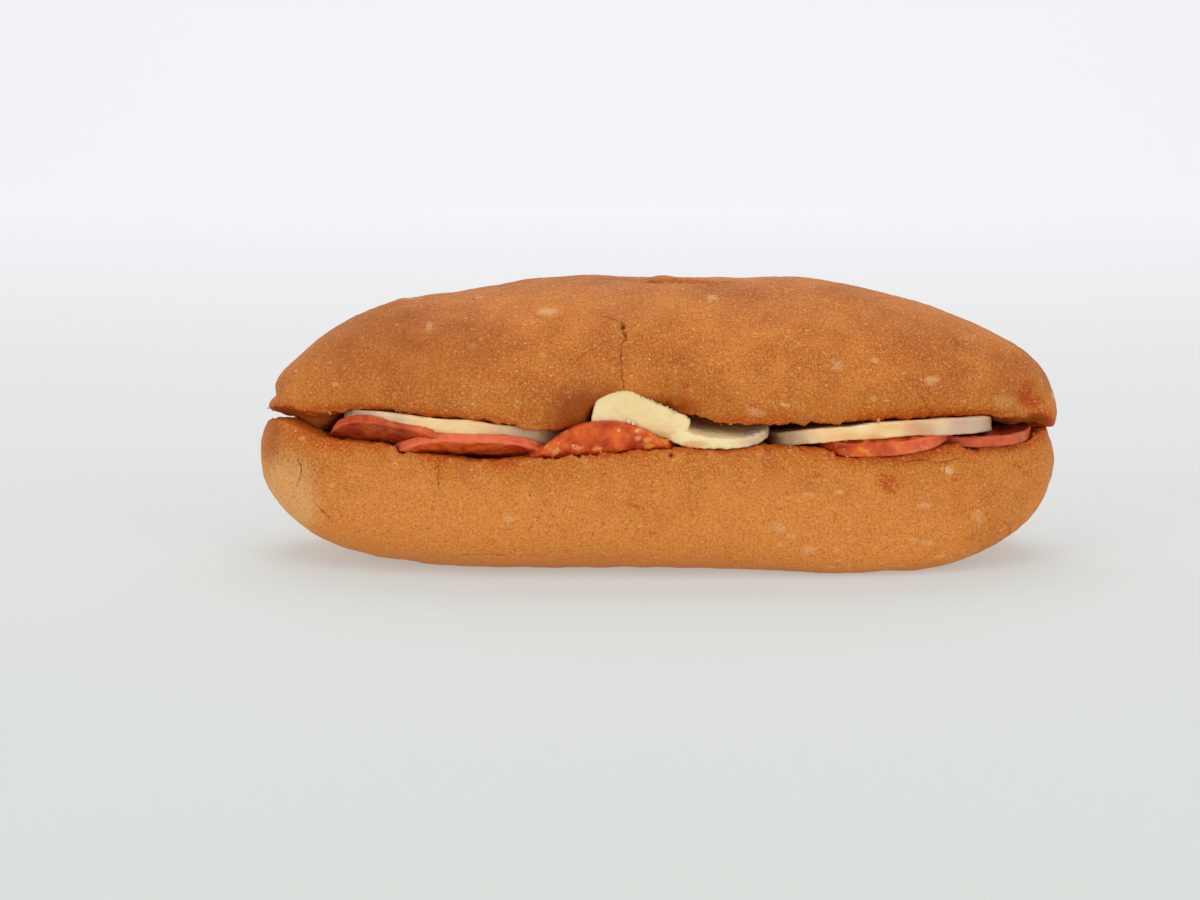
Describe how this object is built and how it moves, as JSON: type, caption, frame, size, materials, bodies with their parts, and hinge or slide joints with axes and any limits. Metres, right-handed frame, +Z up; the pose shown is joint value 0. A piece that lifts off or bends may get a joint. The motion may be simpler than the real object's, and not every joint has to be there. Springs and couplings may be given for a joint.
{
  "type": "long bread roll filled with sausage and cheese slices",
  "caption": "Long brown bread roll cut open along its front, its domed upper half propped open by overlapping slices of cured sausage and white cheese.",
  "frame": {"origin": "middle of the flat base that the roll stands on", "axes": "+X along the roll, -Y towards its open front, +Z up"},
  "size_m": [0.2, 0.076, 0.07],
  "materials": {
    "crust": "baked bread crust, satin",
    "sausage": "moist cured sausage with spots of fat",
    "cheese": "soft white cheese, satin"
  },
  "bodies": {
    "root": {"roll_lower_half": "crust", "roll_upper_half": "crust", "sausage_slice_1": "sausage", "sausage_slice_2": "sausage", "sausage_slice_3": "sausage", "sausage_slice_4": "sausage", "sausage_slice_5": "sausage", "cheese_slice_1": "cheese", "cheese_slice_2": "cheese", "cheese_slice_3": "cheese"}
  },
  "joints": []
}
